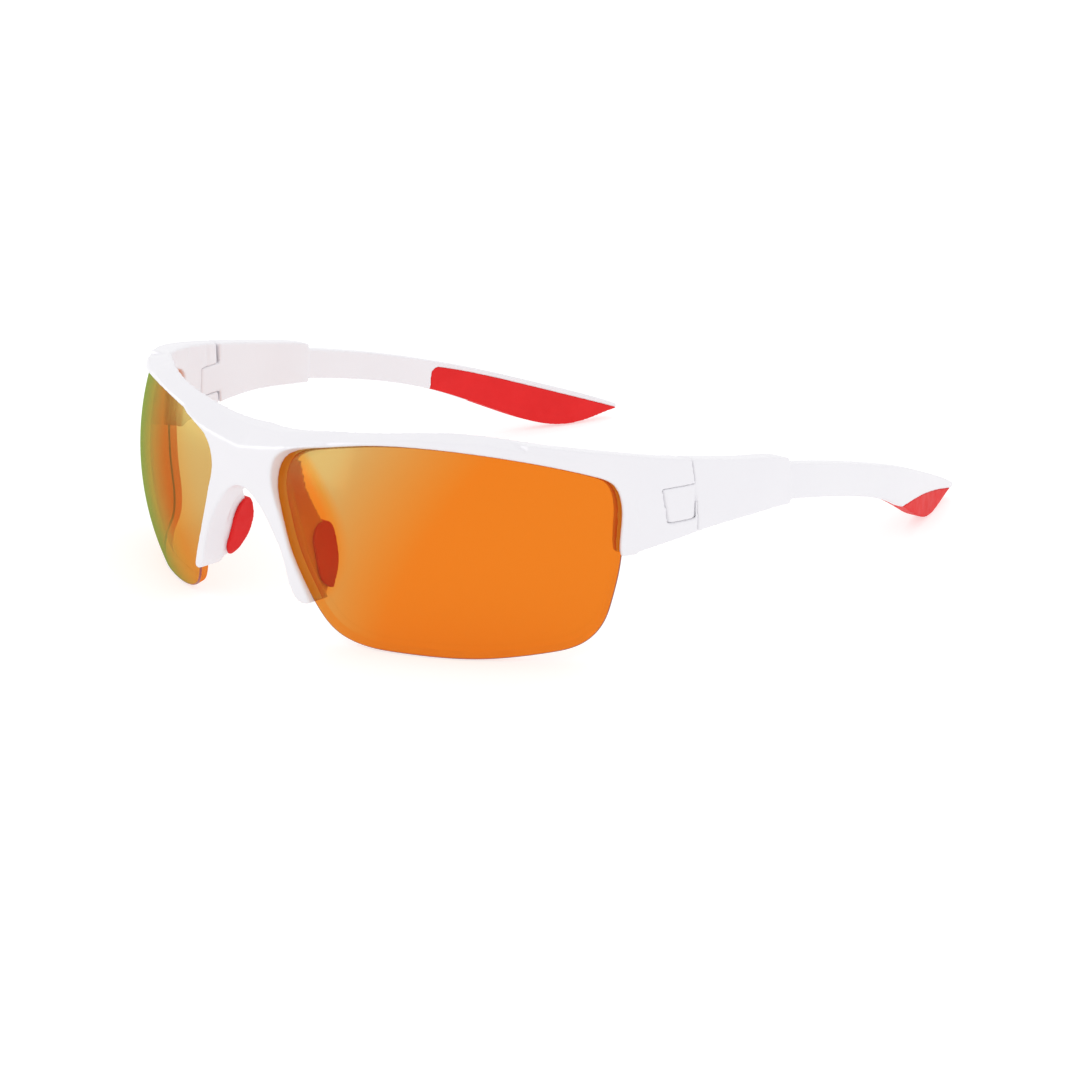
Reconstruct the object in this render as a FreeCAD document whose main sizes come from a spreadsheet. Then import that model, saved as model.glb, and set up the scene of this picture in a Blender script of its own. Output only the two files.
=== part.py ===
import FreeCAD, Part
import os

# Wraparound sport sunglasses: a half-rim front with two spherical lenses, and two folding temples.
# Frame of the part: X to the wearer's left, Y towards the ears, Z up.  The drawing zero of Y is the
# front of the nose stems; every finished piece is then moved by front_shift, so that the part's
# origin is the middle of its footprint on the table.

SIZES = [
    ("front_shift", -79.25, "from the drawing zero to the middle of the footprint, along Y"),
    ("lens_radius", 59.4, "outer radius of the spherical lens"),
    ("lens_thickness", 2.0, "lens wall"),
    ("lens_centre_x", 11.75, "centre of the lens sphere"),
    ("lens_centre_y", 58.5, "centre of the lens sphere"),
    ("lens_centre_z", 21.35, "centre of the lens sphere"),
    ("lens_turn", 30.0, "turn of the lens's middle from straight ahead, degrees"),
    ("outline_reach", 62.4, "from the sphere's centre to the plane the outlines are drawn on"),
    ("brow_proud", 0.9, "front lip of the frame above the lens surface"),
    ("brow_depth", 3.4, "back of the frame below the lens surface"),
    ("bridge_front", 2.3, "front of the bridge ahead of the drawing zero"),
    ("bridge_depth", 5.0, "bridge from front to back"),
    ("hinge_x", 66.4, "hinge axis from the middle of the part"),
    ("hinge_y", 44.4, "hinge axis behind the drawing zero"),
    ("seam_offset", 2.6, "butt seam behind the hinge axis"),
    ("seam_gap", 0.25, "gap in the butt seam"),
    ("inner_corner", 2.1, "inner corner of the folded temple ahead of the hinge axis, with clearance"),
    ("tongue_radius", 4.4, "rounded front of the temple's hinge tongue"),
    ("tongue_bottom", 25.6, "underside of the tongue"),
    ("tongue_height", 6.2, "height of the tongue"),
    ("tongue_play", 0.15, "clearance above and below the tongue"),
    ("slot_play", 0.3, "clearance round the front of the tongue"),
    ("screw_radius", 0.75, "shank of the hinge screw"),
    ("screw_length", 11.8, "shank of the hinge screw below the head"),
    ("screw_head_radius", 1.15, "head of the hinge screw"),
    ("screw_head_height", 1.0, "head of the hinge screw"),
    ("screw_bottom", 21.9, "height of the screw head's face"),
    ("screw_slot_width", 0.35, "driver slot"),
    ("screw_slot_depth", 0.45, "driver slot"),
    ("screw_play", 0.05, "radial clearance of the tongue on the shank"),
    ("screw_access", 4.0, "open bore below the screw head, for the driver"),
    ("flange_thickness", 1.7, "nose flange behind each stem"),
    ("pad_proud_inside", 0.8, "rubber nose pad over the flange, nose side"),
    ("pad_proud_outside", 0.6, "rubber nose pad over the flange, lens side"),
    ("stud_radius", 1.2, "stud of the nose pad through the flange"),
    ("stud_y", 6.5, "stud behind the drawing zero"),
    ("stud_z", 15.3, "height of the stud"),
    ("stud_inner_x", 5.0, "inner end of the stud, inside the pad"),
    ("stud_length", 20.0, "stud blank, longer than the pad and flange together"),
    ("tip_pad_depth", 1.4, "inlay of the temple tip pad into the inner face"),
    ("outer_crown", 0.35, "bulge of the temple's outer face"),
]

# The lens outline, drawn on a plane square to the lens's middle, as seen from the sphere's centre.
LENS_OUTLINE = [
    (-29.3, -16.2), (-32.6, -10.2), (-36.2, -3.2), (-39.2, 4.2), (-41.4, 10.6), (-40.3, 16.6),
    (-35.6, 20.0), (-26.0, 20.8), (-12.0, 21.9), (2.0, 21.8), (16.0, 20.8), (28.0, 19.6),
    (37.0, 18.4), (42.0, 15.2), (43.2, 9.0), (42.5, 1.5), (41.6, -4.8), (40.0, -11.8),
    (37.9, -18.2), (33.6, -22.4), (24.0, -23.8), (8.0, -24.1), (-8.0, -24.1), (-18.6, -24.2),
    (-24.6, -22.2),
]

# What the frame leaves open in front of the lens.  Below the stem and the end piece it runs outside
# the lens, which has no rim there.
OPENING_UPPER = [
    (-28.9, -16.8), (-30.5, -13.1), (-34.9, -4.4), (-38.4, 4.5), (-40.8, 11.5), (-39.1, 16.8),
    (-34.7, 19.0), (-26.8, 20.0), (-14.2, 21.0), (-3.5, 21.1), (14.7, 20.0), (35.0, 17.4),
    (40.2, 15.5), (42.1, 9.6), (41.4, 3.2), (41.9, -2.4),
]
OPENING_LOWER = [(41.9, -2.4), (50.0, -6.0), (46.0, -34.0), (-24.0, -34.0), (-28.9, -16.8)]

# Front view of the left half of the frame (x, z).
BROW_TOP = [
    (0.0, 38.6), (8.6, 39.1), (17.1, 40.2), (30.3, 41.6), (41.0, 42.3), (47.0, 41.7),
    (53.0, 40.4), (58.0, 39.0), (64.0, 37.4),
]
BROW_END = [(64.0, 37.4), (67.2, 36.0), (67.2, 20.6), (60.0, 20.6), (20.0, 12.0), (17.2, 8.6)]
STEM_TIP = [(17.2, 8.6), (15.6, 7.9), (13.9, 8.7)]
STEM_EDGE = [
    (13.9, 8.7), (12.6, 10.9), (11.7, 14.0), (9.2, 19.8), (5.8, 24.5), (2.8, 27.2), (0.0, 28.0),
]
BROW_CLOSE = [(0.0, 28.0), (0.0, 38.6)]

# Where the bridge's top slopes down to its front: x, ridge y, ridge z, fall per millimetre.
BEVEL_STATIONS = [
    (-1.0, 2.6, 38.65, 0.62), (12.0, 3.2, 39.55, 0.36), (24.0, 7.6, 41.0, 0.17),
    (36.0, 11.6, 42.2, 0.11), (50.0, 20.5, 42.0, 0.06),
]
BEVEL_REACH = 26.0
BEVEL_HEADROOM = 4.0

# Cross-sections of the side arm, front to back: y, underside z, top z, outer x at the underside and
# at the top, wall at the underside and at the top.
PADDLE_STATIONS = [
    (20.0, 20.6, 41.4, 58.2, 53.6, 5.5, 6.0),
    (26.0, 20.5, 40.3, 62.4, 58.9, 5.0, 5.4),
    (32.0, 20.6, 39.2, 66.0, 63.1, 4.8, 4.7),
    (37.0, 21.5, 38.2, 68.2, 65.7, 5.2, 4.4),
    (42.0, 22.3, 37.2, 69.9, 67.8, 5.6, 4.4),
    (48.0, 23.0, 36.1, 71.1, 69.4, 5.8, 4.4),
    (56.0, 23.2, 34.6, 71.8, 70.6, 4.9, 4.2),
    (65.0, 22.8, 33.0, 71.7, 71.0, 4.2, 4.2),
    (74.6, 22.0, 31.0, 71.2, 70.6, 4.2, 4.2),
]
BAR_STATIONS = [
    (72.5, 23.2, 30.2, 70.9, 70.2, 3.5, 3.5),
    (88.0, 20.3, 26.9, 70.4, 69.6, 3.5, 3.5),
    (103.0, 16.6, 23.2, 69.1, 68.2, 3.6, 3.6),
    (115.0, 12.4, 19.8, 66.9, 66.1, 3.8, 3.7),
    (125.0, 7.9, 16.7, 64.1, 63.4, 4.0, 3.8),
    (134.0, 3.7, 13.6, 60.9, 60.3, 4.1, 3.8),
    (143.0, 0.8, 10.4, 57.4, 57.0, 4.1, 3.6),
    (152.0, 0.9, 7.1, 54.2, 53.9, 3.8, 3.3),
    (160.8, 2.3, 3.5, 51.4, 51.3, 2.8, 2.6),
]

# Inner boundary of the tip pad in side view (y, z), and its boundary on the outer face.
TIP_PAD_INSIDE = [
    [(110.8, 5.0), (110.8, 17.4)],
    [(110.8, 17.4), (111.3, 18.8), (112.8, 19.3)],
    [(112.8, 19.3), (124.5, 15.8), (135.0, 12.1), (144.6, 8.6), (153.4, 5.4), (166.0, 0.6)],
    [(166.0, 0.6), (166.0, -6.0), (110.8, -6.0), (110.8, 5.0)],
]
TIP_PAD_OUTSIDE = [
    [(122.0, 9.4), (132.5, 8.3), (143.6, 6.2), (153.4, 4.0), (166.0, 0.8)],
    [(166.0, 0.8), (166.0, -6.0), (122.0, -6.0), (122.0, 9.4)],
]

# Nose flange: z, inner x at the front, rear y, inner x at the rear.
FLANGE_FRONT_Y = -1.0
FLANGE_STATIONS = [
    (8.3, 14.2, 3.8, 14.7), (10.6, 12.7, 6.6, 13.2), (13.3, 11.9, 8.2, 12.3), (17.1, 10.4, 8.8, 11.2),
    (20.0, 9.1, 8.0, 10.7), (24.0, 6.2, 6.4, 9.8), (28.0, 3.4, 5.0, 9.0), (33.5, 3.2, 4.0, 8.8),
]
PAD_OUTLINE = [
    (8.0, 21.4), (5.9, 20.8), (4.5, 18.3), (4.2, 14.6), (4.4, 10.6), (5.8, 9.5), (7.6, 10.9),
    (9.3, 14.0), (9.7, 17.4), (9.2, 20.2),
]
PAD_REAR_Y = 14.0

# Plan of the bridge (x, y): how its front runs back into the brow on each side.
BRIDGE_SHOULDER = (12.5, -1.8)
BRIDGE_MID = (5.0, -2.25)
BRIDGE_FLANK = [(17.0, -0.4), (21.0, 1.9)]

# Blocks that only cut or trim are larger than what they cut.
BLOCK_WIDTH = 90.0
BLOCK_HEIGHT = 60.0
BLOCK_LENGTH = 180.0
RELIEF_WIDTH = 20.0
FRONT_VIEW_AHEAD = 10.0     # the front view is extruded from here ahead of the drawing zero
FRONT_VIEW_BEHIND = 34.5    # to here behind it, where the brow has run into the side arm
PAD_REACH = 30.0            # the nose pad's side view is extruded from the middle to here
TIP_INNER_X = 30.0          # the tip pad's side views are extruded from here
TIP_REACH = 50.0            # over this length
INLAY_MARGIN = 3.0          # how far the inlay's layer stands out of the temple
SLOT_REACH = 2.0            # half length of the driver slot's outline, past the screw head

doc = FreeCAD.newDocument("sport_sunglasses")
sheet = doc.addObject("Spreadsheet::Sheet", "Sizes")
for row, (alias, value, meaning) in enumerate(SIZES, start=1):
    sheet.set("A%d" % row, meaning)
    sheet.set("B%d" % row, str(value))
    sheet.setAlias("B%d" % row, alias)
doc.recompute()


def size(alias):
    return float(sheet.get(alias))


def bind(item, **expressions):
    for name, expression in expressions.items():
        item.setExpression(name, expression)


def at(item, x="0", y="0", z="0", yaw="0", roll="0"):
    """Place an object by expressions: first turned about X by roll, then about Z by yaw."""
    item.setExpression(
        "Placement",
        "create(<<placement>>; create(<<vector>>; %s; %s; %s); create(<<rotation>>; %s; 0; %s))"
        % (x, y, z, yaw, roll),
    )
    return item


def add(kind, name, **links):
    item = doc.addObject(kind, name)
    for link, value in links.items():
        setattr(item, link, value)
    return item


def curve_through(points):
    vectors = [FreeCAD.Vector(x, y, 0) for x, y in points]
    if len(vectors) == 2:
        return Part.LineSegment(vectors[0], vectors[1])
    if len(vectors) == 3:
        return Part.Arc(*vectors)
    curve = Part.BSplineCurve()
    curve.interpolate(vectors)
    return curve


def straight_runs(points):
    return [list(pair) for pair in zip(points[:-1], points[1:])]


def outline(name, stretches):
    """A sketch whose stretches are lines (2 points), arcs (3) or smooth curves (4 or more)."""
    sketch = doc.addObject("Sketcher::SketchObject", name)
    for stretch in stretches:
        sketch.addGeometry(curve_through(stretch))
    return sketch


def closed_outline(name, points):
    sketch = doc.addObject("Sketcher::SketchObject", name)
    curve = Part.BSplineCurve()
    curve.interpolate([FreeCAD.Vector(x, y, 0) for x, y in points], PeriodicFlag=True)
    sketch.addGeometry(curve)
    return sketch


def in_front_view(sketch, y="0"):
    return at(sketch, y=y, roll="90")


def in_side_view(sketch, x="0"):
    return at(sketch, x=x, yaw="90", roll="90")


def on_lens_plane(sketch):
    return at(
        sketch,
        x="Sizes.lens_centre_x + Sizes.outline_reach * sin(Sizes.lens_turn)",
        y="Sizes.lens_centre_y - Sizes.outline_reach * cos(Sizes.lens_turn)",
        z="Sizes.lens_centre_z",
        yaw="Sizes.lens_turn",
        roll="90",
    )


def extrude(name, sketch, start, length):
    """Extrude a sketch along its own normal, from start over length."""
    item = add("Part::Extrusion", name, Base=sketch, DirMode="Normal", Solid=True)
    item.LengthFwd = length + start
    item.LengthRev = -start
    return item


def sphere(name, radius):
    item = add("Part::Sphere", name)
    bind(item, Radius=radius)
    return at(item, "Sizes.lens_centre_x", "Sizes.lens_centre_y", "Sizes.lens_centre_z")


def cylinder(name, radius, height, x, y, z):
    item = add("Part::Cylinder", name)
    bind(item, Radius=radius, Height=height)
    return at(item, x, y, z)


def box(name, length, width, height, x, y, z):
    item = add("Part::Box", name)
    bind(item, Length=length, Width=width, Height=height)
    return at(item, x, y, z)


def cut(name, base, tool):
    return add("Part::Cut", name, Base=base, Tool=tool)


def common(name, *shapes):
    return add("Part::MultiCommon", name, Shapes=list(shapes))


def fuse(name, *shapes):
    return add("Part::MultiFuse", name, Shapes=list(shapes))


def mirrored(name, source):
    return add("Part::Mirroring", name, Source=source, Normal=FreeCAD.Vector(1, 0, 0))


def lens_cone(name, sketch):
    """The solid between the sphere's centre and an outline in front of the lens."""
    return add("Part::Loft", name, Sections=[sphere_centre, sketch], Solid=True, Ruled=True)


def arm_section(name, station):
    y, z_low, z_high, x_low, x_high, wall_low, wall_high = station
    corners = [(x_low - wall_low, z_low), (x_low, z_low), (x_high, z_high), (x_high - wall_high, z_high)]
    crown = ((x_low + x_high) / 2 + size("outer_crown"), (z_low + z_high) / 2)
    stretches = [
        [corners[0], corners[1]],
        [corners[1], crown, corners[2]],
        [corners[2], corners[3]],
        [corners[3], corners[0]],
    ]
    return in_front_view(outline(name, stretches), y=str(y))


def arm_loft(name, stations):
    sections = [arm_section("%s_section_%d" % (name, i), row) for i, row in enumerate(stations)]
    return add("Part::Loft", name, Sections=sections, Solid=True, Ruled=False)


def flange_slab(name, grow_inside, grow_outside, rear_y=None):
    """The flange's slanted wall, lofted through level sections, thickened on both faces."""
    sections = []
    for i, (z, x_front, y_rear, x_rear) in enumerate(FLANGE_STATIONS):
        slope = (x_rear - x_front) / (y_rear - FLANGE_FRONT_Y)
        y_end = y_rear if rear_y is None else rear_y
        x_end = x_front + slope * (y_end - FLANGE_FRONT_Y)
        wall = size("flange_thickness") + grow_outside
        corners = [
            (x_front - grow_inside, FLANGE_FRONT_Y), (x_end - grow_inside, y_end),
            (x_end + wall, y_end), (x_front + wall, FLANGE_FRONT_Y),
        ]
        sketch = outline("%s_section_%d" % (name, i), straight_runs(corners + corners[:1]))
        sections.append(at(sketch, z=str(z)))
    return add("Part::Loft", name, Sections=sections, Solid=True, Ruled=True)


def finished(item, label):
    item.Label = label
    return item


# --- Lenses -----------------------------------------------------------------------------
sphere_centre = add("Part::Vertex", "sphere_centre")
bind(sphere_centre, X="Sizes.lens_centre_x", Y="Sizes.lens_centre_y", Z="Sizes.lens_centre_z")
lens_outline = on_lens_plane(closed_outline("lens_outline", LENS_OUTLINE))
lens_front = sphere("lens_front_sphere", "Sizes.lens_radius")
lens_back = sphere("lens_back_sphere", "Sizes.lens_radius - Sizes.lens_thickness")
lens_shell = cut("lens_shell", lens_front, lens_back)
lens_blank = common("lens_blank", lens_shell, lens_cone("lens_cone", lens_outline))

# --- Side arm, from which the end piece of the front and the temple are cut -----------------
paddle = arm_loft("paddle", PADDLE_STATIONS)
bar = arm_loft("bar", BAR_STATIONS)

seam = "Sizes.hinge_y + Sizes.seam_offset"
width, height, length = str(BLOCK_WIDTH), str(BLOCK_HEIGHT), str(BLOCK_LENGTH)
relief = str(RELIEF_WIDTH)
ahead_of_seam = box("ahead_of_seam", width, seam, height, "0", "0", "0")
behind_seam = box("behind_seam", width, length, height, "0", seam + " + Sizes.seam_gap", "0")
tongue_round = cylinder(
    "tongue_round", "Sizes.tongue_radius", "Sizes.tongue_height",
    "Sizes.hinge_x", "Sizes.hinge_y", "Sizes.tongue_bottom")
slot_round = cylinder(
    "slot_round", "Sizes.tongue_radius + Sizes.slot_play", "Sizes.tongue_height + 2 * Sizes.tongue_play",
    "Sizes.hinge_x", "Sizes.hinge_y", "Sizes.tongue_bottom - Sizes.tongue_play")
corner_block = box(
    "corner_block", relief, relief, height, "Sizes.hinge_x - " + relief, "Sizes.hinge_y", "0")
corner_round = cylinder(
    "corner_round", "Sizes.seam_offset - Sizes.seam_gap", height, "Sizes.hinge_x", "Sizes.hinge_y", "0")
corner_relief = cut("corner_relief", corner_block, corner_round)

fold_relief = box(
    "fold_relief", relief, "Sizes.inner_corner + Sizes.seam_offset", height,
    "Sizes.hinge_x - Sizes.seam_offset + Sizes.seam_gap - " + relief,
    "Sizes.hinge_y - Sizes.inner_corner", "0")

end_piece_blank = common("end_piece_blank", paddle, ahead_of_seam)
end_piece = cut("end_piece", end_piece_blank, fuse("hinge_reliefs", slot_round, corner_relief, fold_relief))

# --- Front frame ------------------------------------------------------------------------------
band_front = sphere("band_front_sphere", "Sizes.lens_radius + Sizes.brow_proud")
band_back = sphere("band_back_sphere", "Sizes.lens_radius - Sizes.brow_depth")
band_shell = cut("band_shell", band_front, band_back)
front_view = in_front_view(
    outline("front_view", [BROW_TOP] + straight_runs(BROW_END) + [STEM_TIP, STEM_EDGE, BROW_CLOSE]))
front_block = extrude(
    "front_block", front_view, -FRONT_VIEW_BEHIND, FRONT_VIEW_BEHIND + FRONT_VIEW_AHEAD)
band = common("band", band_shell, front_block)

bridge_nose = (0.0, -size("bridge_front"))
bridge_rear = size("bridge_depth") - size("bridge_front")
bridge_end = BRIDGE_FLANK[-1]
rear_corners = [bridge_end, (bridge_end[0], bridge_rear), (0.0, bridge_rear), bridge_nose]
bridge_plan = outline("bridge_plan", [
    [bridge_nose, BRIDGE_MID, BRIDGE_SHOULDER],
    [BRIDGE_SHOULDER] + BRIDGE_FLANK,
] + straight_runs(rear_corners))
bridge_column = extrude("bridge_column", bridge_plan, 0.0, BLOCK_HEIGHT)
bridge = common("bridge", bridge_column, front_block)

bevel_sections = []
for i, (x, ridge_y, ridge_z, fall) in enumerate(BEVEL_STATIONS):
    front_y = ridge_y - BEVEL_REACH
    corners = [
        (ridge_y, ridge_z), (front_y, ridge_z - fall * BEVEL_REACH),
        (front_y, ridge_z + BEVEL_HEADROOM), (ridge_y, ridge_z + BEVEL_HEADROOM),
    ]
    sketch = outline("bevel_section_%d" % i, straight_runs(corners + corners[:1]))
    bevel_sections.append(in_side_view(sketch, x=str(x)))
bevel = add("Part::Loft", "bevel", Sections=bevel_sections, Solid=True, Ruled=True)

opening_outline = on_lens_plane(
    outline("opening_outline", [OPENING_UPPER] + straight_runs(OPENING_LOWER)))
opening = lens_cone("opening_cone", opening_outline)
rim_blank = fuse("rim_blank", band, bridge, end_piece)
rim = cut("rim", rim_blank, fuse("rim_cutters", opening, bevel))

inside_lens = sphere("inside_lens_sphere", "Sizes.lens_radius - Sizes.lens_thickness")
flange_blank = common("flange_blank", flange_slab("flange_slab", 0.0, 0.0), inside_lens)
stud = add("Part::Cylinder", "pad_stud")
bind(stud, Radius="Sizes.stud_radius", Height="Sizes.stud_length")
at(stud, "Sizes.stud_inner_x", "Sizes.stud_y", "Sizes.stud_z", yaw="90", roll="90")
flange = cut("flange", flange_blank, stud)

half_front = fuse("half_front", rim, flange)
both_halves = fuse("both_halves", half_front, mirrored("other_half_front", half_front))
shank_hole = cylinder(
    "shank_hole", "Sizes.screw_radius", "Sizes.screw_head_height + Sizes.screw_length",
    "Sizes.hinge_x", "Sizes.hinge_y", "Sizes.screw_bottom")
head_hole = cylinder(
    "head_hole", "Sizes.screw_head_radius + Sizes.screw_play",
    "Sizes.screw_head_height + Sizes.screw_access",
    "Sizes.hinge_x", "Sizes.hinge_y", "Sizes.screw_bottom - Sizes.screw_access")
screw_hole = fuse("screw_hole", shank_hole, head_hole)
front_cutters = fuse(
    "front_cutters", lens_blank, mirrored("other_lens_blank", lens_blank),
    screw_hole, mirrored("other_screw_hole", screw_hole))
front_frame = finished(cut("front_frame", both_halves, front_cutters), "front_frame")

# --- Nose pad -----------------------------------------------------------------------------------
pad_outline = in_side_view(closed_outline("pad_outline", PAD_OUTLINE))
pad_column = extrude("pad_column", pad_outline, 0.0, PAD_REACH)
pad_slab = flange_slab(
    "pad_slab", size("pad_proud_inside"), size("pad_proud_outside"), rear_y=PAD_REAR_Y)
pad_blank = common("pad_blank", pad_column, pad_slab)
nose_pad = cut("nose_pad", pad_blank, flange)

# --- Temple and its tip pad ------------------------------------------------------------------
temple_zone = fuse("temple_zone", behind_seam, tongue_round)
temple_paddle = common("temple_paddle", paddle, temple_zone)
temple_blank = fuse("temple_blank", temple_paddle, bar)
tongue_bore = cylinder(
    "tongue_bore", "Sizes.screw_radius + Sizes.screw_play", height,
    "Sizes.hinge_x", "Sizes.hinge_y", "0")

inlay_sections = []
for i, (y, z_low, z_high, x_low, x_high, wall_low, wall_high) in enumerate(BAR_STATIONS[2:]):
    depth = size("tip_pad_depth")
    low = x_low - wall_low
    high = x_high - wall_high
    bottom = z_low - INLAY_MARGIN
    top = z_high + INLAY_MARGIN
    corners = [
        (low - INLAY_MARGIN, bottom), (low + depth, bottom), (high + depth, top), (high - INLAY_MARGIN, top),
    ]
    sketch = outline("inlay_section_%d" % i, straight_runs(corners + corners[:1]))
    inlay_sections.append(in_front_view(sketch, y=str(y)))
inlay_layer = add("Part::Loft", "inlay_layer", Sections=inlay_sections, Solid=True, Ruled=False)
inlay_outline = in_side_view(outline("inlay_outline", TIP_PAD_INSIDE))
inlay_side = extrude("inlay_side", inlay_outline, TIP_INNER_X, TIP_REACH)
inlay = common("inlay", inlay_layer, inlay_side)
wrap_outline = in_side_view(outline("wrap_outline", TIP_PAD_OUTSIDE))
wrap = extrude("wrap", wrap_outline, TIP_INNER_X, TIP_REACH)
tip_zone = fuse("tip_zone", inlay, wrap)

temple = cut("temple", temple_blank, fuse("temple_cutters", tongue_bore, tip_zone))
tip_pad = common("tip_pad", bar, tip_zone)

# --- Hinge screw --------------------------------------------------------------------------------
def origin_plane(body, role):
    return next(item for item in body.Origin.OriginFeatures if item.Role == role)


screw = doc.addObject("PartDesign::Body", "hinge_screw")
profile = screw.newObject("Sketcher::SketchObject", "screw_profile")
profile.AttachmentSupport = (origin_plane(screw, "XZ_Plane"), [""])
profile.MapMode = "FlatFace"
head_r = size("screw_head_radius")
head_h = size("screw_head_height")
shank_r = size("screw_radius")
total = head_h + size("screw_length")
turned = [(0, 0), (head_r, 0), (head_r, head_h), (shank_r, head_h), (shank_r, total), (0, total), (0, 0)]
for start, end in straight_runs(turned):
    profile.addGeometry(curve_through([start, end]))
turning = screw.newObject("PartDesign::Revolution", "screw_turning")
turning.Profile = profile
turning.ReferenceAxis = (profile, ["V_Axis"])
turning.Angle = 360.0
slot_sketch = screw.newObject("Sketcher::SketchObject", "slot_outline")
slot_sketch.AttachmentSupport = (origin_plane(screw, "XY_Plane"), [""])
slot_sketch.MapMode = "FlatFace"
half_w = size("screw_slot_width") / 2
slot_corners = [
    (-SLOT_REACH, -half_w), (SLOT_REACH, -half_w), (SLOT_REACH, half_w), (-SLOT_REACH, half_w),
    (-SLOT_REACH, -half_w),
]
for start, end in straight_runs(slot_corners):
    slot_sketch.addGeometry(curve_through([start, end]))
doc.recompute()
turned_volume = screw.Shape.Volume
slot = screw.newObject("PartDesign::Pocket", "driver_slot")
slot.Profile = slot_sketch
slot.Reversed = True
bind(slot, Length="Sizes.screw_slot_depth")
screw.Tip = slot

# --- Finished pieces, left and right, moved to the middle of the footprint ---------------------
at(front_frame, y="Sizes.front_shift")
pieces = {"front_frame": front_frame}
for name, left in (
    ("lens", lens_blank), ("nose_pad", nose_pad), ("temple", temple), ("temple_tip_pad", tip_pad),
):
    for side, source in (("left", left), ("right", mirrored(name + "_mirror", left))):
        piece = add("Part::Compound", "%s_%s" % (name, side), Links=[source])
        at(piece, y="Sizes.front_shift")
        pieces["%s_%s" % (name, side)] = finished(piece, "%s_%s" % (name, side))
for side, sign in (("left", ""), ("right", "-")):
    piece = add("Part::Compound", "hinge_screw_" + side, Links=[screw])
    at(piece, sign + "Sizes.hinge_x", "Sizes.hinge_y + Sizes.front_shift", "Sizes.screw_bottom")
    pieces["hinge_screw_" + side] = finished(piece, "hinge_screw_" + side)
doc.recompute()

# --- Checks and files -----------------------------------------------------------------------------
for item in doc.Objects:
    if "Invalid" in item.State or "Error" in item.State:
        raise RuntimeError("%s failed: %s" % (item.Label, item.State))
if not screw.Shape.Volume < turned_volume:
    raise RuntimeError("the driver slot cuts nothing")
for name, piece in pieces.items():
    if piece.Shape.isNull() or not piece.Shape.isValid():
        raise RuntimeError("%s has no valid shape" % name)
    if len(piece.Shape.Solids) != 1:
        raise RuntimeError("%s has %d solids" % (name, len(piece.Shape.Solids)))

os.makedirs("parts", exist_ok=True)
for name, piece in pieces.items():
    piece.Shape.exportStep("parts/%s.step" % name)
    print(name, "%.1f mm3" % piece.Shape.Volume, piece.Shape.BoundBox)
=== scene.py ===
"""Wraparound sport sunglasses: the looks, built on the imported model."""

import math

import bmesh
import bpy
import numpy as np
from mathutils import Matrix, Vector


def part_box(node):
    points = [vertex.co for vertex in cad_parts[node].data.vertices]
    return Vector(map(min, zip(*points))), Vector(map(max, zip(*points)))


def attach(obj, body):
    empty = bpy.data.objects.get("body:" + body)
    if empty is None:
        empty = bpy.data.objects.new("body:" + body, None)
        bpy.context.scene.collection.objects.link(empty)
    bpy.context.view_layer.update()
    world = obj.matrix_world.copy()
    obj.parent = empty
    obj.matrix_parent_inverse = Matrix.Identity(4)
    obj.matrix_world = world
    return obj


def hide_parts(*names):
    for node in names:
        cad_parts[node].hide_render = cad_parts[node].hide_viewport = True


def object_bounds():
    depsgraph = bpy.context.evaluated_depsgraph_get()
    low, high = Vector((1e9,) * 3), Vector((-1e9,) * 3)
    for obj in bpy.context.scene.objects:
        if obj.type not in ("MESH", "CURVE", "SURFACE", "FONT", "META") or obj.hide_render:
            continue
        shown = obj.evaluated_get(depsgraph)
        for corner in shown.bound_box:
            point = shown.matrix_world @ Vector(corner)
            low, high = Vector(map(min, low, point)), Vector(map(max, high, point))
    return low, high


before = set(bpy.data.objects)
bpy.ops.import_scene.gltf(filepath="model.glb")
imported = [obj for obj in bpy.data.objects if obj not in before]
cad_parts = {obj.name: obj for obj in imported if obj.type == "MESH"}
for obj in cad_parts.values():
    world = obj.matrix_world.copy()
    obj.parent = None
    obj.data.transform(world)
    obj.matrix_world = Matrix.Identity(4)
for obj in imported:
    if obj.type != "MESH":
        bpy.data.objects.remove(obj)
cad_box = [list(corner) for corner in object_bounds()]

MM = 0.001
SIDES = {"left": 1, "right": -1}
WELD = 1e-7

# The sphere that each lens is a piece of, as the design has it, on the wearer's left side.
LENS_CENTRE = Vector((11.75, -20.75, 21.35)) * MM
LENS_RADIUS = 59.4 * MM
LENS_THICKNESS = 2.0 * MM
ON_SPHERE = 0.05 * MM

# The camera, as its aim point, its distance from there and its direction in degrees.
CAMERA_AIM = Vector((36.8, -38.25, 15.1)) * MM
CAMERA_DISTANCE = 464.09 * MM
CAMERA_AZIMUTH = 42.97
CAMERA_ELEVATION = 18.09
CAMERA_LENS = 80.43

# How finely the plastic mouldings are gridded (mm), how often they are eased, and how far they grow (mm).
PLASTIC_GRID = 0.25
PLASTIC_EASING = 10
PLASTIC_SWELL = 0.09

# The one lamp: a large soft box ahead of the glasses on the wearer's right, in metres and watts.
SOFTBOX_DIRECTION = (-0.72, -0.66, 0.22)
SOFTBOX_DISTANCE = 1.0
SOFTBOX_SIZE = 1.1
SOFTBOX_POWER = 11.4
FLOOR_SIZE = 12.0
WORLD_STRENGTH = 1.1


# ---------------------------------------------------------------- materials

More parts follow.
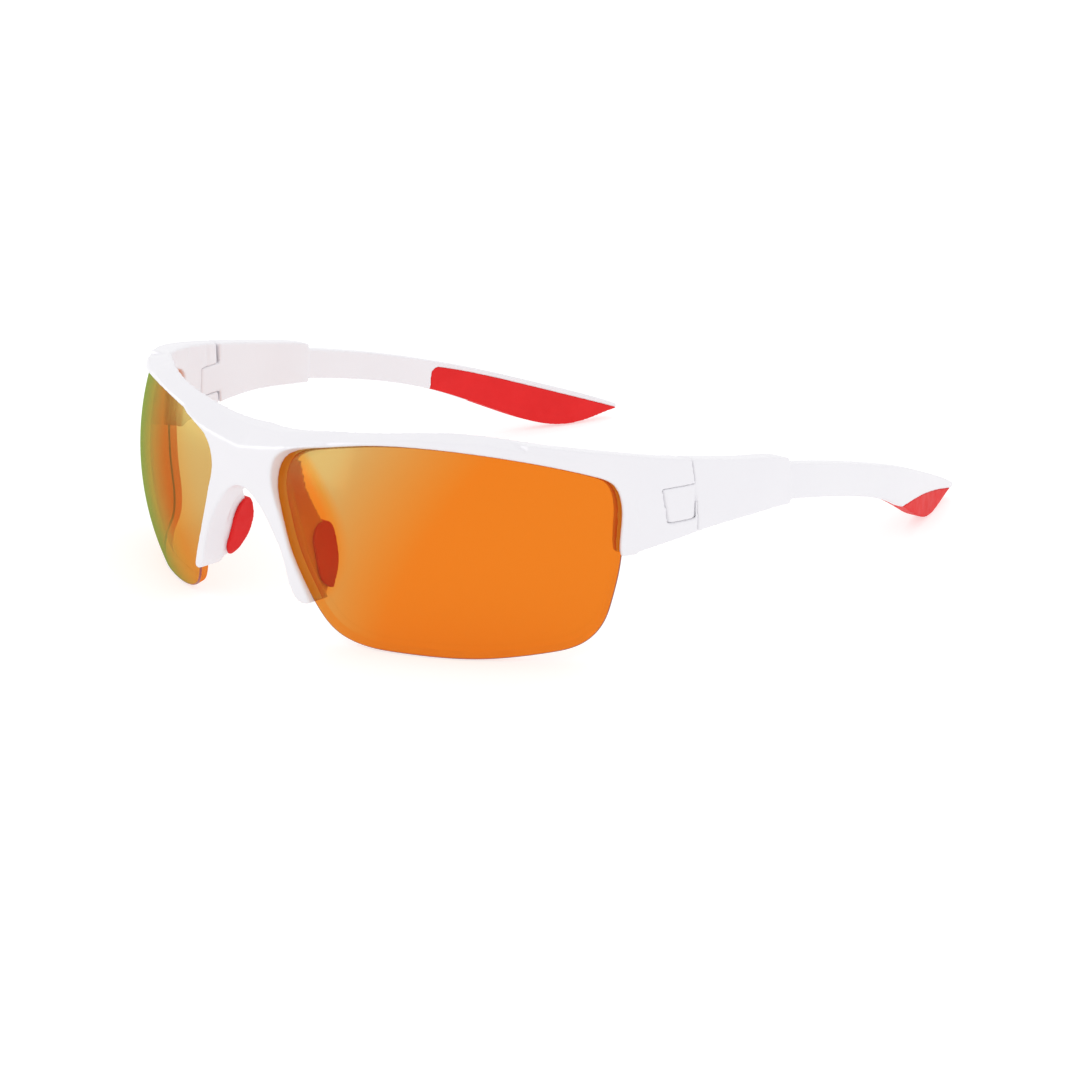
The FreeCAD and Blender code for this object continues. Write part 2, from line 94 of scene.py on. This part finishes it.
class Nodes:
    """A short way to build a material's node tree."""

    def __init__(self, name):
        self.material = bpy.data.materials.new(name)
        self.material.use_nodes = True
        self.tree = self.material.node_tree
        self.tree.nodes.clear()
        self.out = self.new("ShaderNodeOutputMaterial")
        self.place = self.new("ShaderNodeTexCoord").outputs["Object"]

    def new(self, kind, **inputs):
        node = self.tree.nodes.new(kind)
        for name, value in inputs.items():
            node.inputs[name.replace("_", " ")].default_value = value
        return node

    def link(self, source, target):
        self.tree.links.new(source, target)

    def noise(self, scale, detail=2.0, roughness=0.5):
        node = self.new("ShaderNodeTexNoise", Scale=scale, Detail=detail, Roughness=roughness)
        self.link(self.place, node.inputs["Vector"])
        return node.outputs["Fac"]

    def ramp(self, source, stops):
        node = self.new("ShaderNodeValToRGB")
        marks = node.color_ramp.elements
        while len(marks) < len(stops):
            marks.new(1.0)
        for mark, (position, value) in zip(marks, stops):
            mark.position = position
            rgb = value if isinstance(value, tuple) else (value,) * 3
            mark.color = (*rgb, 1.0)
        self.link(source, node.inputs["Fac"])
        return node.outputs["Color"]

    def math(self, operation, first, second):
        node = self.new("ShaderNodeMath")
        node.operation = operation
        self.link(first, node.inputs[0])
        if isinstance(second, float):
            node.inputs[1].default_value = second
        else:
            self.link(second, node.inputs[1])
        return node.outputs["Value"]

    def share(self, source):
        """A value held between nought and one."""
        node = self.new("ShaderNodeClamp")
        self.link(source, node.inputs["Value"])
        return node.outputs["Result"]

    def bump(self, height, strength, distance):
        node = self.new("ShaderNodeBump", Strength=strength, Distance=distance)
        self.link(height, node.inputs["Height"])
        return node.outputs["Normal"]

    def finish(self, shader):
        self.link(shader.outputs[0], self.out.inputs["Surface"])
        return self.material


def moulded_plastic(name, colour, shade):
    """Satin injection-moulded plastic: a fine spark texture, and a faint drift of colour and gloss."""
    n = Nodes(name)
    shader = n.new("ShaderNodeBsdfPrincipled", IOR=1.49, Coat_Weight=0.1, Coat_Roughness=0.18)
    drift = n.noise(45.0, 3.0)
    n.link(n.ramp(drift, [(0.35, shade), (0.65, colour)]), shader.inputs["Base Color"])
    gloss = n.noise(260.0, 4.0, 0.6)
    n.link(n.ramp(gloss, [(0.3, 0.34), (0.7, 0.44)]), shader.inputs["Roughness"])
    grain = n.noise(5200.0, 3.0, 0.6)
    n.link(n.bump(grain, 0.12, 0.02 * MM), shader.inputs["Normal"])
    return n.finish(shader)


def soft_rubber(name, colour, shade, grain_size):
    """Moulded elastomer: matte, with a peened skin and a slightly dusty sheen."""
    n = Nodes(name)
    shader = n.new("ShaderNodeBsdfPrincipled", IOR=1.4, Specular_IOR_Level=0.25)
    drift = n.noise(140.0, 4.0, 0.55)
    n.link(n.ramp(drift, [(0.35, shade), (0.65, colour)]), shader.inputs["Base Color"])
    wear = n.noise(420.0, 4.0, 0.6)
    n.link(n.ramp(wear, [(0.3, 0.5), (0.7, 0.66)]), shader.inputs["Roughness"])
    pores = n.new("ShaderNodeTexVoronoi", Scale=1.0 / grain_size)
    pores.feature = "SMOOTH_F1"
    n.link(n.place, pores.inputs["Vector"])
    n.link(n.bump(pores.outputs["Distance"], 0.35, 0.06 * MM), shader.inputs["Normal"])
    return n.finish(shader)


def turned_steel(name, centre):
    """Machined steel with fine rings about the screw's own axis."""
    n = Nodes(name)
    shader = n.new("ShaderNodeBsdfPrincipled", Metallic=1.0, Base_Color=(0.62, 0.62, 0.63, 1.0))
    shifted = n.new("ShaderNodeMapping")
    shifted.inputs["Location"].default_value = -centre
    n.link(n.place, shifted.inputs["Vector"])
    rings = n.new("ShaderNodeTexWave", Scale=1800.0, Distortion=0.4)
    rings.wave_type = "RINGS"
    rings.rings_direction = "Z"
    n.link(shifted.outputs["Vector"], rings.inputs["Vector"])
    n.link(n.ramp(rings.outputs["Fac"], [(0.2, 0.22), (0.8, 0.34)]), shader.inputs["Roughness"])
    n.link(n.bump(rings.outputs["Fac"], 0.3, 0.01 * MM), shader.inputs["Normal"])
    return n.finish(shader)


# The tint runs from pale gold at the nose to orange at the temple, across a slanted band, in metres. The
# pale gold is a painted reflection: the soft box's reflection laid into the lens's orange tint.
REFLECTION_PAINTED_TINT = (0.785, 0.60, 0.345)
DEEP_TINT = (0.885, 0.432, 0.095)
PAINTED_REFLECTION_SLANT = 0.514
PAINTED_REFLECTION_START = 2.94 * MM
PAINTED_REFLECTION_SPAN = 25.0 * MM

# Painted shade: where the left lens shows its flange and nose pad, the tint stays deep and the paler
# painted reflection is held back, so that they read darker. Its limit is x = start + z * (slope + bend *
# z).
SHADE_START = 4.7 * MM
SHADE_SLOPE = 1.742
SHADE_BEND = -0.0433 / MM
SHADE_BLEND = 2.5 * MM


def lens_tint(n):
    """The lens's colour at one face. It has its own orange tint, paled to gold towards the nose and top
    as a painted reflection of the soft box. It is kept deep as painted shade where the left lens shows
    its flange and nose pad.
    """
    place = n.new("ShaderNodeSeparateXYZ")
    n.link(n.place, place.inputs["Vector"])
    # Painted reflection: the tint pales towards the nose and the top, in place of the soft box's
    # reflection.
    across = n.math("ABSOLUTE", place.outputs["X"], 0.0)
    lift = n.math("MULTIPLY", place.outputs["Z"], PAINTED_REFLECTION_SLANT)
    along = n.math("SUBTRACT", n.math("SUBTRACT", across, lift), PAINTED_REFLECTION_START)
    painted_reflection = n.share(n.math("ADD", n.math("DIVIDE", along, -PAINTED_REFLECTION_SPAN), 1.0))
    # Painted shade: on the left lens, where the flange and nose pad sit behind it, the deep tint is kept.
    # The right lens is left without it.
    curve = n.math("ADD", n.math("MULTIPLY", place.outputs["Z"], SHADE_BEND), SHADE_SLOPE)
    painted_shade_limit = n.math("ADD", n.math("MULTIPLY", curve, place.outputs["Z"]), SHADE_START)
    clear = n.share(n.math("DIVIDE", n.math("SUBTRACT", across, painted_shade_limit), SHADE_BLEND))
    far_side = n.share(n.math("DIVIDE", place.outputs["X"], -MM))
    clear = n.math("MAXIMUM", clear, far_side)
    return n.ramp(n.math("MULTIPLY", painted_reflection, clear), [(0.0, DEEP_TINT), (1.0, REFLECTION_PAINTED_TINT)])


def lens_skin(name, reflected, share, roughness):
    """One face of a tinted lens. reflected and share say how the surface's reflection changes colour and
    grows as the face turns edge-on, as an interference coat does."""
    n = Nodes(name)
    facing = n.new("ShaderNodeLayerWeight", Blend=0.5).outputs["Facing"]
    film = n.math("MULTIPLY", n.noise(28.0, 2.0), 0.05)
    angle = n.math("ADD", facing, film)
    mirror = n.new("ShaderNodeBsdfAnisotropic", Roughness=roughness)
    n.link(n.ramp(angle, reflected), mirror.inputs["Color"])
    tint = n.new("ShaderNodeBsdfTransparent")
    n.link(lens_tint(n), tint.inputs["Color"])
    mixed = n.new("ShaderNodeMixShader")
    n.link(n.ramp(angle, share), mixed.inputs["Fac"])
    n.link(tint.outputs[0], mixed.inputs[1])
    n.link(mirror.outputs[0], mixed.inputs[2])
    return n.finish(mixed)


def mirror_coat(name):
    """The outer face: a thin gold-green mirror, olive where it is seen edge-on."""
    return lens_skin(name, [
        (0.00, (0.24, 0.80, 0.34)),
        (0.40, (0.30, 0.74, 0.28)),
        (0.62, (0.42, 0.52, 0.14)),
        (0.82, (0.30, 0.39, 0.10)),
        (1.00, (0.26, 0.36, 0.08)),
    ], [(0.0, 0.02), (0.25, 0.03), (0.42, 0.05), (0.62, 0.13), (0.85, 0.72), (1.0, 0.97)], 0.24)


def lens_back(name):
    """The inner face: a plain polished gloss."""
    return lens_skin(name, [(0.0, (0.9, 0.85, 0.8)), (1.0, (0.9, 0.9, 0.9))],
                     [(0.0, 0.02), (0.5, 0.04), (0.8, 0.12), (1.0, 0.4)], 0.1)


def lens_bevel(name):
    """The front of the cut edge, where light leaves after a long way through the tint: dark red."""
    n = Nodes(name)
    shader = n.new("ShaderNodeBsdfPrincipled", IOR=1.58, Coat_Weight=0.3, Coat_Roughness=0.25)
    n.link(n.ramp(n.noise(300.0), [(0.3, (0.22, 0.014, 0.004)), (0.7, (0.30, 0.020, 0.005))]),
           shader.inputs["Base Color"])
    n.link(n.ramp(n.noise(900.0), [(0.3, 0.3), (0.7, 0.45)]), shader.inputs["Roughness"])
    return n.finish(shader)


def lens_wall(name):
    """The rest of the cut edge: polished, and tinted as the faces are."""
    n = Nodes(name)
    tint = n.new("ShaderNodeBsdfTransparent")
    n.link(n.ramp(n.noise(240.0), [(0.3, (0.87, 0.42, 0.10)), (0.7, (0.90, 0.45, 0.11))]),
           tint.inputs["Color"])
    gloss = n.new("ShaderNodeBsdfAnisotropic", Roughness=0.2, Color=(0.6, 0.4, 0.3, 1.0))
    mixed = n.new("ShaderNodeMixShader", Fac=0.06)
    n.link(tint.outputs[0], mixed.inputs[1])
    n.link(gloss.outputs[0], mixed.inputs[2])
    return n.finish(mixed)


# ---------------------------------------------------------------- pieces

def joined_mesh(node):
    """A CAD node's mesh as a new mesh, with the corners that the import split joined again."""
    work = bmesh.new()
    work.from_mesh(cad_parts[node].data)
    bmesh.ops.remove_doubles(work, verts=work.verts, dist=WELD)
    mesh = bpy.data.meshes.new(node + "_copy")
    work.to_mesh(mesh)
    work.free()
    return mesh


def in_place_of(piece, node, body):
    """The new piece stands for its CAD node, and moves with the same body."""
    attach(piece, body)
    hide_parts(node)


def moulded(name, node, body, material, voxel, softening, swell=0.0):
    """A CAD node as a moulding: the same shape with its sharp edges rounded over.
    voxel is the grid's step in mm, softening how many times the surface is eased, and swell how far in mm
    it then grows, which closes the seams that the easing opened."""
    piece = bpy.data.objects.new(name, joined_mesh(node))
    bpy.context.scene.collection.objects.link(piece)
    grid = piece.modifiers.new("grid", "REMESH")
    grid.mode = "VOXEL"
    grid.voxel_size = voxel * MM
    grid.adaptivity = 0.0
    ease = piece.modifiers.new("ease", "SMOOTH")
    ease.factor = 0.5
    ease.iterations = softening
    grow = piece.modifiers.new("grow", "DISPLACE")
    grow.mid_level = 0.0
    grow.strength = swell * MM
    shape = piece.evaluated_get(bpy.context.evaluated_depsgraph_get())
    piece.data = bpy.data.meshes.new_from_object(shape)
    piece.modifiers.clear()
    piece.data.name = name
    piece.data.shade_smooth()
    piece.data.materials.clear()
    piece.data.materials.append(material)
    in_place_of(piece, node, body)
    return piece


def rim_loop(node, centre):
    """The lens's outline on its outer face, as points in order round it."""
    work = bmesh.new()
    work.from_mesh(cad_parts[node].data)
    bmesh.ops.remove_doubles(work, verts=work.verts, dist=WELD)
    outer = {v for v in work.verts if abs((v.co - centre).length - LENS_RADIUS) < ON_SPHERE}
    faces = {f for f in work.faces if all(v in outer for v in f.verts)}
    edges = [e for e in work.edges if sum(f in faces for f in e.link_faces) == 1]
    follow = {}
    for edge in edges:
        a, b = edge.verts
        follow.setdefault(a, []).append(b)
        follow.setdefault(b, []).append(a)
    start = edges[0].verts[0]
    loop, last, here = [start], None, start
    while True:
        ahead = [v for v in follow[here] if v is not last]
        last, here = here, ahead[0]
        if here is start:
            break
        loop.append(here)
    points = np.array([v.co for v in loop])
    work.free()
    return points


def evenly_spaced(points, count):
    """A closed outline again, as count points at equal distances along it."""
    closed = np.vstack([points, points[:1]])
    steps = np.linalg.norm(np.diff(closed, axis=0), axis=1)
    travel = np.concatenate([[0.0], np.cumsum(steps)])
    wanted = np.linspace(0.0, travel[-1], count, endpoint=False)
    return np.stack([np.interp(wanted, travel, closed[:, k]) for k in range(3)], axis=1)


def eased(points, passes):
    """A closed outline with the corners of its short chords eased away."""
    for _ in range(passes):
        points = 0.5 * points + 0.25 * (np.roll(points, 1, axis=0) + np.roll(points, -1, axis=0))
    return points


def unit(rows):
    return rows / np.linalg.norm(rows, axis=1, keepdims=True)


# The lens's cut edge in section, as pairs of mm: how far in from the outline, and how deep. Its first
# DARK_STEPS steps are the dark bevel.
EDGE_SECTION = [(0.34, 0.00), (0.18, 0.03), (0.06, 0.12), (0.0, 0.28), (0.0, 0.75),
                (0.0, 1.7), (0.06, 1.88), (0.18, 1.97), (0.34, 2.00)]
DARK_STEPS = 3
RIM_POINTS = 400
RIM_EASING = 4
FACE, BACK, BEVEL, WALL = range(4)
RINGS = 22


def lens(name, node, body, materials, side):
    """A spherical lens with a rounded, polished edge, inside its CAD outline."""
    centre = Vector((LENS_CENTRE.x * side, LENS_CENTRE.y, LENS_CENTRE.z))
    origin = np.array(centre)
    rim = eased(evenly_spaced(rim_loop(node, centre), RIM_POINTS), RIM_EASING)
    outward = unit(rim - origin)
    middle = unit(outward.mean(axis=0, keepdims=True))
    along = np.roll(rim, -1, axis=0) - np.roll(rim, 1, axis=0)
    inward = unit(np.cross(outward, along))
    inward *= np.sign(np.sum(inward * (middle - outward), axis=1, keepdims=True))

    rows = []
    for inset, depth in EDGE_SECTION:
        ray = unit(outward * LENS_RADIUS + inward * inset * MM)
        rows.append(origin + ray * (LENS_RADIUS - depth * MM))
    outer_rim = unit(rows[0] - origin)
    front, back = [], []
    for ring in range(1, RINGS):
        ray = unit(outer_rim + (middle - outer_rim) * ring / RINGS)
        front.append(origin + ray * LENS_RADIUS)
        back.append(origin + ray * (LENS_RADIUS - LENS_THICKNESS))
    rows = front[::-1] + rows + back
    points = np.vstack(rows + [origin + middle * LENS_RADIUS,
                               origin + middle * (LENS_RADIUS - LENS_THICKNESS)])

    faces, kinds = [], []
    last_front, last_edge = len(front), len(front) + len(EDGE_SECTION) - 1
    for row in range(len(rows) - 1):
        kind = FACE
        if row >= last_edge:
            kind = BACK
        elif row >= last_front:
            kind = BEVEL if row < last_front + DARK_STEPS else WALL
        for k in range(RIM_POINTS):
            a, b = row * RIM_POINTS + k, row * RIM_POINTS + (k + 1) % RIM_POINTS
            faces.append((a, b, b + RIM_POINTS, a + RIM_POINTS))
            kinds.append(kind)
    front_middle, back_middle = len(points) - 2, len(points) - 1
    start = (len(rows) - 1) * RIM_POINTS
    for k in range(RIM_POINTS):
        faces.append((front_middle, (k + 1) % RIM_POINTS, k))
        kinds.append(FACE)
        faces.append((back_middle, start + k, start + (k + 1) % RIM_POINTS))
        kinds.append(BACK)

    mesh = bpy.data.meshes.new(name)
    mesh.from_pydata(points.tolist(), [], faces)
    work = bmesh.new()
    work.from_mesh(mesh)
    bmesh.ops.recalc_face_normals(work, faces=work.faces)
    work.to_mesh(mesh)
    work.free()
    for material in materials:
        mesh.materials.append(material)
    mesh.polygons.foreach_set("material_index", kinds)
    mesh.shade_smooth()
    piece = bpy.data.objects.new(name, mesh)
    bpy.context.scene.collection.objects.link(piece)
    in_place_of(piece, node, body)
    return piece


white = moulded_plastic("white_plastic", (0.792, 0.78, 0.812), (0.778, 0.766, 0.80))
nose_red = soft_rubber("nose_rubber", (0.70, 0.013, 0.014), (0.66, 0.011, 0.012), 0.45 * MM)
tip_red = soft_rubber("tip_rubber", (0.73, 0.018, 0.019), (0.69, 0.015, 0.016), 0.35 * MM)
lens_skins = [mirror_coat("lens_mirror"), lens_back("lens_inner_face"), lens_bevel("lens_bevel"),
              lens_wall("lens_wall")]

moulded("frame_moulding", "front_frame", "front", white,
        PLASTIC_GRID, PLASTIC_EASING, PLASTIC_SWELL)
for side, sign in SIDES.items():
    temple_body = "temple_" + side
    moulded("temple_moulding_" + side, temple_body, temple_body, white,
            PLASTIC_GRID, PLASTIC_EASING, PLASTIC_SWELL)
    moulded("tip_grip_" + side, "temple_tip_pad_" + side, temple_body, tip_red, 0.25, 6)
    moulded("nose_rest_" + side, "nose_pad_" + side, "front", nose_red, 0.2, 8)
    lens("lens_shell_" + side, "lens_" + side, "front", lens_skins, sign)
    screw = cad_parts["hinge_screw_" + side]
    low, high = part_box("hinge_screw_" + side)
    screw.data.materials.clear()
    screw.data.materials.append(turned_steel("turned_steel_" + side, (low + high) / 2))


# ---------------------------------------------------------------- studio

def floor():
    """A plain pale floor, wide enough to fill the view, under the lenses and the tips."""
    n = Nodes("floor")
    shader = n.new("ShaderNodeBsdfPrincipled", Roughness=0.9, Specular_IOR_Level=0.0,
                   Emission_Color=(1.0, 1.0, 1.0, 1.0), Emission_Strength=0.6)
    n.link(n.ramp(n.noise(6.0), [(0.3, 0.49), (0.7, 0.51)]), shader.inputs["Base Color"])
    material = n.finish(shader)
    bpy.ops.mesh.primitive_plane_add(size=FLOOR_SIZE, location=(0.0, 0.0, 0.0))
    plane = bpy.context.object
    plane.name = "floor"
    plane.data.materials.append(material)


def softbox(name, direction, distance, size, power, aim):
    """A square area light that faces aim from a direction."""
    light = bpy.data.lights.new(name, "AREA")
    light.shape = "SQUARE"
    light.size = size
    light.energy = power
    lamp = bpy.data.objects.new(name, light)
    bpy.context.scene.collection.objects.link(lamp)
    towards = Vector(direction).normalized()
    lamp.location = aim + towards * distance
    lamp.rotation_euler = towards.to_track_quat("Z", "Y").to_euler()
    lamp.visible_camera = False
    return lamp


floor()
middle = (Vector(cad_box[0]) + Vector(cad_box[1])) / 2
front_light = softbox("softbox_front", SOFTBOX_DIRECTION, SOFTBOX_DISTANCE,
                      SOFTBOX_SIZE, SOFTBOX_POWER, middle)
front_light.visible_diffuse = False

world = bpy.data.worlds.new("studio")
bpy.context.scene.world = world
world.use_nodes = True
sky = world.node_tree.nodes["Background"]
sky.inputs["Color"].default_value = (1.0, 1.0, 1.0, 1.0)
sky.inputs["Strength"].default_value = WORLD_STRENGTH
bpy.context.scene.view_settings.view_transform = "Standard"

azimuth, elevation = math.radians(CAMERA_AZIMUTH), math.radians(CAMERA_ELEVATION)
back = Vector((math.sin(azimuth) * math.cos(elevation),
               -math.cos(azimuth) * math.cos(elevation), math.sin(elevation)))
camera = bpy.data.objects.new("camera", bpy.data.cameras.new("camera"))
bpy.context.scene.collection.objects.link(camera)
camera.data.lens = CAMERA_LENS
camera.data.clip_start = 0.01
camera.location = CAMERA_AIM + back * CAMERA_DISTANCE
camera.rotation_euler = back.to_track_quat("Z", "Y").to_euler()
bpy.context.scene.camera = camera
